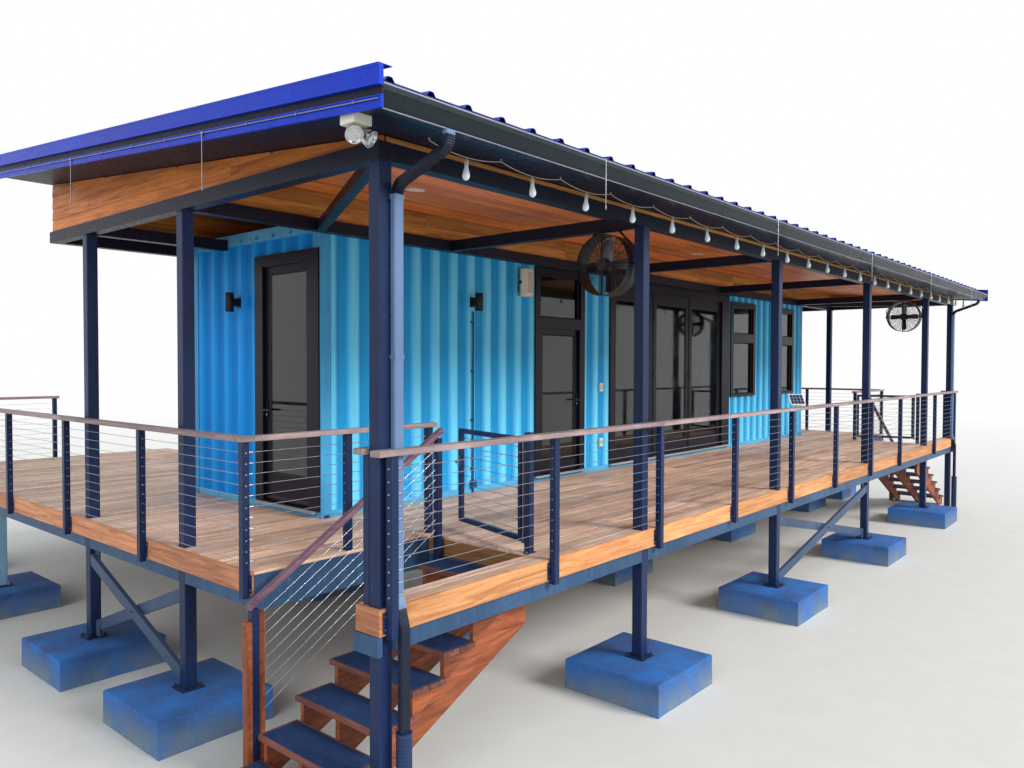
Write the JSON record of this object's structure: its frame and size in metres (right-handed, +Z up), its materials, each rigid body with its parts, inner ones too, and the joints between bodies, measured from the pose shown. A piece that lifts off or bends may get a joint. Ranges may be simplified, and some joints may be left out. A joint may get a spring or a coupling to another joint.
{
  "type": "shipping container cabin",
  "caption": "Container cabin on piers with glazed doors, a wraparound timber deck, cable railings, corner stairs and a sloped porch roof.",
  "frame": {"origin": "on the ground under the centre of the whole outline", "axes": "+X along the long front side to the right, +Y to the back, +Z up"},
  "size_m": [15.8306, 10.4076, 4.9212],
  "materials": {
    "concrete": "painted concrete",
    "pier_steel": "satin paint",
    "black_steel": "satin paint",
    "joist_wood": "rough sawn",
    "deck_wood": "oiled",
    "fascia_wood": "oiled",
    "blue_paint": "satin paint",
    "rail_blue": "satin paint",
    "floor_wood": "matte",
    "frame_black": "satin paint",
    "clear_glass": "clear",
    "fitting_black": "satin",
    "cedar": "clear varnish",
    "roof_blue": "gloss paint",
    "gutter_dark": "satin paint",
    "cap_wood": "weathered",
    "string_wood": "stained",
    "tread_blue": "painted",
    "fan_metal": "satin"
  },
  "bodies": {
    "root": {"footings": "concrete", "piers": "pier_steel", "porch_posts": "black_steel", "deck_beams": "black_steel", "deck_cross_beams": "black_steel", "deck_joists": "joist_wood", "front_deck": "deck_wood", "side_decks": "deck_wood", "rear_deck": "deck_wood", "deck_fascia": "fascia_wood", "x_braces": "black_steel", "front_wall": "blue_paint", "back_wall": "blue_paint", "left_end_wall": "blue_paint", "right_end_wall": "blue_paint", "container_rails": "rail_blue", "corner_posts": "rail_blue", "container_floor": "floor_wood", "container_roof": "blue_paint", "end_door_frame": "frame_black", "entry_door_frame": "frame_black", "patio_doors": "frame_black", "side_windows": "frame_black", "fixed_glass": "clear_glass", "wall_fittings": "fitting_black", "roof_girders": "black_steel", "roof_cross_beams": "black_steel", "ceiling_boards": "cedar", "gable_boards": "cedar", "roof_frame": "roof_blue", "roof_sheet": "roof_blue", "gutters": "gutter_dark", "railings": "black_steel", "rail_caps": "cap_wood", "stair_strings": "string_wood", "stair_treads": "tread_blue", "fan_frames": "fan_metal"},
    "end_door": {"end_door": "frame_black", "end_door_glass": "clear_glass"},
    "entry_door": {"entry_door": "frame_black", "entry_door_glass": "clear_glass"},
    "left_gate": {"left_gate": "black_steel"},
    "right_gate": {"right_gate": "black_steel"},
    "left_fan": {"left_fan": "fan_metal"},
    "right_fan": {"right_fan": "fan_metal"}
  },
  "joints": [
    {"name": "end_door_hinge", "type": "hinge", "parent": "root", "child": "end_door", "pos_m": [-5.953, -1.92075, 1.42], "axis": [0, 0, -1], "range_deg": [0, 90]},
    {"name": "entry_door_hinge", "type": "hinge", "parent": "root", "child": "entry_door", "pos_m": [-2.718, -2.01575, 1.42], "axis": [0, 0, 1], "range_deg": [0, 90]},
    {"name": "left_gate_hinge", "type": "hinge", "parent": "root", "child": "left_gate", "pos_m": [-5.781, -4.38375, 1.42], "axis": [0, 0, -1], "range_deg": [-16, 74]},
    {"name": "right_gate_hinge", "type": "hinge", "parent": "root", "child": "right_gate", "pos_m": [5.781, -4.38375, 1.42], "axis": [0, 0, 1], "range_deg": [-16, 74]},
    {"name": "left_fan_spin", "type": "hinge", "parent": "root", "child": "left_fan", "pos_m": [-4.431, -4.25775, 3.8], "axis": [1, 0, 0], "continuous": true},
    {"name": "right_fan_spin", "type": "hinge", "parent": "root", "child": "right_fan", "pos_m": [5.469, -4.25775, 3.8], "axis": [1, 0, 0], "continuous": true}
  ]
}
